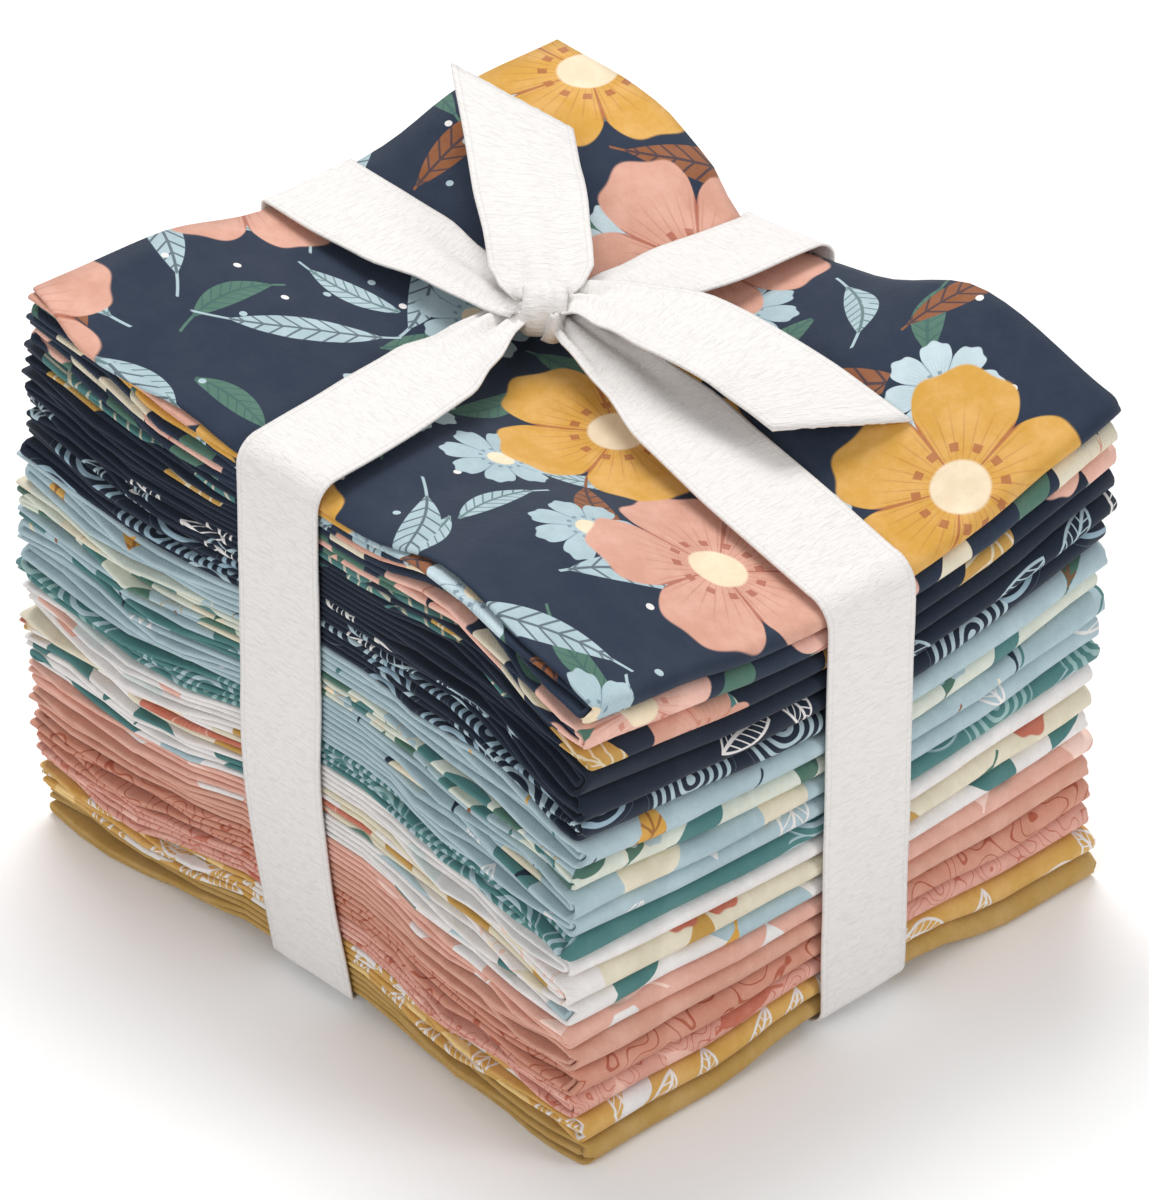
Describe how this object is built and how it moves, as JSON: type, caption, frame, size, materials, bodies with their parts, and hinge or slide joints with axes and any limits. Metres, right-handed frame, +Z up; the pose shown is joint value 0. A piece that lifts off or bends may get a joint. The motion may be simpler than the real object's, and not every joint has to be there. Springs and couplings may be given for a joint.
{
  "type": "fat quarter bundle",
  "caption": "A square stack of folded printed cotton fabric cuts, tied both ways with a white ribbon that is knotted on top, its cut ends lying free.",
  "frame": {"origin": "under the middle of the bundle, on the surface that it rests on", "axes": "+Z up; +Y from the rounded folds back to the cut ends, the longer side; +X along the rounded folds"},
  "size_m": [0.1206, 0.1378, 0.1134],
  "materials": {
    "cotton_01": "matte printed cotton, navy floral print",
    "cotton_02": "matte printed cotton, cream, pink and navy print",
    "cotton_03": "matte printed cotton, navy print with mustard leaves",
    "cotton_04": "matte printed cotton, plain navy",
    "cotton_05": "matte printed cotton, navy print with white line drawing",
    "cotton_06": "matte printed cotton, navy print with light blue striped leaves",
    "cotton_07": "matte printed cotton, light blue print with mustard petals",
    "cotton_08": "matte printed cotton, pale print with green leaves",
    "cotton_09": "matte printed cotton, light blue print with teal and cream",
    "cotton_10": "matte printed cotton, light blue print with white leaves",
    "cotton_11": "matte printed cotton, teal print with striped leaves",
    "cotton_12": "matte printed cotton, pale pink print",
    "cotton_13": "matte printed cotton, cream print with peach and teal",
    "cotton_14": "matte printed cotton, white print with small motifs",
    "cotton_15": "matte printed cotton, pink print with white shapes",
    "cotton_16": "matte printed cotton, plain salmon",
    "cotton_17": "matte printed cotton, salmon print with terracotta lines",
    "cotton_18": "matte printed cotton, terracotta print",
    "cotton_19": "matte printed cotton, mustard print with white leaves",
    "cotton_20": "matte printed cotton, plain mustard",
    "ribbon": "matte off-white woven ribbon with a fine crinkled grain"
  },
  "bodies": {
    "root": {"fat_quarter_01": "cotton_01", "fat_quarter_02": "cotton_02", "fat_quarter_03": "cotton_03", "fat_quarter_04": "cotton_04", "fat_quarter_05": "cotton_05", "fat_quarter_06": "cotton_06", "fat_quarter_07": "cotton_07", "fat_quarter_08": "cotton_08", "fat_quarter_09": "cotton_09", "fat_quarter_10": "cotton_10", "fat_quarter_11": "cotton_11", "fat_quarter_12": "cotton_12", "fat_quarter_13": "cotton_13", "fat_quarter_14": "cotton_14", "fat_quarter_15": "cotton_15", "fat_quarter_16": "cotton_16", "fat_quarter_17": "cotton_17", "fat_quarter_18": "cotton_18", "fat_quarter_19": "cotton_19", "fat_quarter_20": "cotton_20", "ribbon_long_band": "ribbon", "ribbon_cross_band": "ribbon", "ribbon_back_end": "ribbon", "ribbon_front_end": "ribbon", "ribbon_knot": "ribbon", "ribbon_tuck": "ribbon"}
  },
  "joints": []
}
